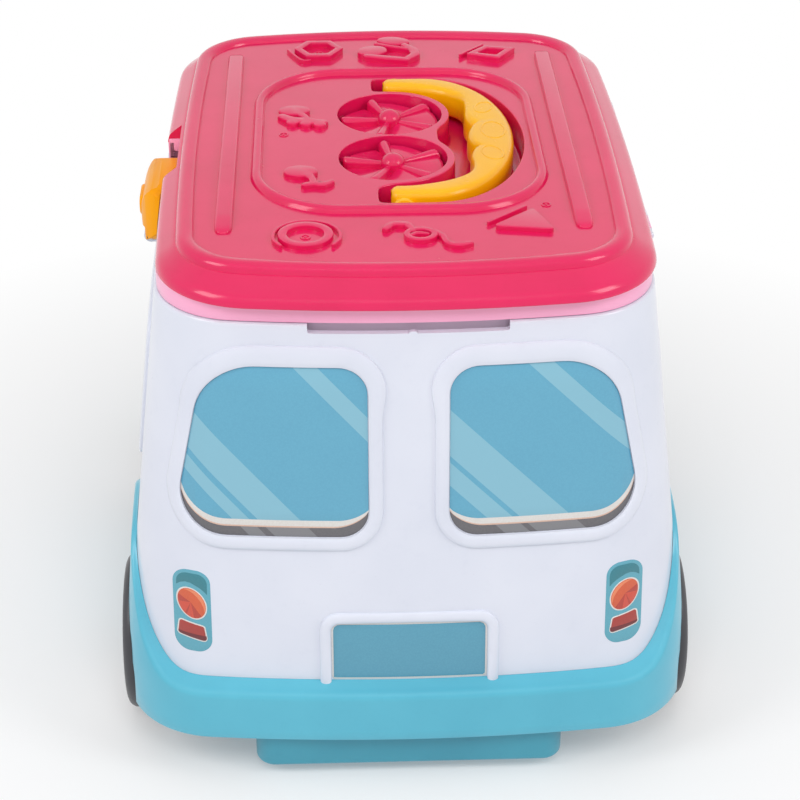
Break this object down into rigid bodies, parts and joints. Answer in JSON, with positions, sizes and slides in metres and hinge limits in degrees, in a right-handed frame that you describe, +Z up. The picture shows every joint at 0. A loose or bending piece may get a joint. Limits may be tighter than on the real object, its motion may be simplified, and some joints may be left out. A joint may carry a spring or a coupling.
{
  "type": "toy ambulance carry case",
  "caption": "Toy ambulance whose body is a storage case, with a hinged lid that has spinning fans, a fold-down carry handle, a side latch and rolling wheels.",
  "frame": {"origin": "on the floor under the middle of the bounding box, where the wheels stand", "axes": "+Z up, +Y towards the vehicle's front, +X to the vehicle's right, where the lid is hinged; the latch is on -X"},
  "size_m": [0.228, 0.3, 0.2156],
  "materials": {
    "white_plastic": "moulded, smooth, slightly blue white",
    "turquoise_plastic": "moulded, smooth",
    "deep_turquoise_plastic": "moulded, smooth, darker than the bumper",
    "crimson_plastic": "moulded, glossy",
    "pink_plastic": "moulded, milky pink",
    "yellow_plastic": "moulded, glossy warm yellow",
    "tyre_plastic": "moulded hard plastic, dark grey, satin",
    "hub_plastic": "moulded, light grey",
    "steel": "bright wire and screws",
    "window_print": "printed film, blue with paler diagonal bands",
    "lamp_print": "printed film, dark teal with an orange disc and a red block",
    "plate_print": "printed film, teal, left bare"
  },
  "bodies": {
    "body": {"axle_bearing_front_left": "deep_turquoise_plastic", "axle_bearing_front_right": "deep_turquoise_plastic", "axle_bearing_rear_left": "deep_turquoise_plastic", "axle_bearing_rear_right": "deep_turquoise_plastic", "body_screw_1": "steel", "body_screw_2": "steel", "body_screw_3": "steel", "body_screw_4": "steel", "body_shell": "white_plastic", "cab_window_left": "window_print", "cab_window_right": "window_print", "chassis": "turquoise_plastic", "floor_pan": "deep_turquoise_plastic", "headlamp_left": "lamp_print", "headlamp_right": "lamp_print", "hinge_pin_front": "steel", "hinge_pin_rear": "steel", "latch_pin": "steel", "number_plate": "plate_print", "pan_screw_1": "steel", "pan_screw_2": "steel", "pan_screw_3": "steel", "pan_screw_4": "steel", "rear_window_left": "window_print", "rear_window_right": "window_print", "side_window_left": "window_print", "side_window_right": "window_print", "tail_lamp_left": "lamp_print", "tail_lamp_right": "lamp_print", "windscreen": "window_print"},
    "lid": {"lid_liner": "pink_plastic", "lid_screw_1": "steel", "lid_screw_2": "steel", "lid_screw_3": "steel", "lid_screw_4": "steel", "lid_screw_5": "steel", "lid_shell": "crimson_plastic"},
    "handle": {"handle": "yellow_plastic", "handle_pin_front": "steel", "handle_pin_rear": "steel"},
    "rear_fan": {"fan_axle_rear": "steel", "fan_rear": "crimson_plastic"},
    "front_fan": {"fan_axle_front": "steel", "fan_front": "crimson_plastic"},
    "latch": {"latch": "yellow_plastic"},
    "rear_wheels": {"axle_rear": "steel", "hub_rear_left": "hub_plastic", "hub_rear_right": "hub_plastic", "tyre_rear_left": "tyre_plastic", "tyre_rear_right": "tyre_plastic"},
    "front_wheels": {"axle_front": "steel", "hub_front_left": "hub_plastic", "hub_front_right": "hub_plastic", "tyre_front_left": "tyre_plastic", "tyre_front_right": "tyre_plastic"}
  },
  "joints": [
    {"name": "lid_hinge", "type": "hinge", "parent": "body", "child": "lid", "pos_m": [0.096, 0, 0.1992], "axis": [0, 1, 0], "range_deg": [0, 100]},
    {"name": "handle_pivot", "type": "hinge", "parent": "lid", "child": "handle", "pos_m": [0.001, 0.0015, 0.2093], "axis": [0, -1, 0], "range_deg": [0, 90]},
    {"name": "rear_fan_spin", "type": "hinge", "parent": "lid", "child": "rear_fan", "pos_m": [-0.002, -0.019, 0.2034], "axis": [0, 0, 1], "continuous": true},
    {"name": "front_fan_spin", "type": "hinge", "parent": "lid", "child": "front_fan", "pos_m": [-0.002, 0.026, 0.2034], "axis": [0, 0, 1], "continuous": true},
    {"name": "latch_pivot", "type": "hinge", "parent": "body", "child": "latch", "pos_m": [-0.1014, 0.0015, 0.176], "axis": [0, -1, 0], "range_deg": [0, 80]},
    {"name": "rear_axle_spin", "type": "hinge", "parent": "body", "child": "rear_wheels", "pos_m": [0, -0.08604, 0.032], "axis": [1, 0, 0], "continuous": true},
    {"name": "front_axle_spin", "type": "hinge", "parent": "body", "child": "front_wheels", "pos_m": [0, 0.08604, 0.032], "axis": [1, 0, 0], "continuous": true}
  ]
}
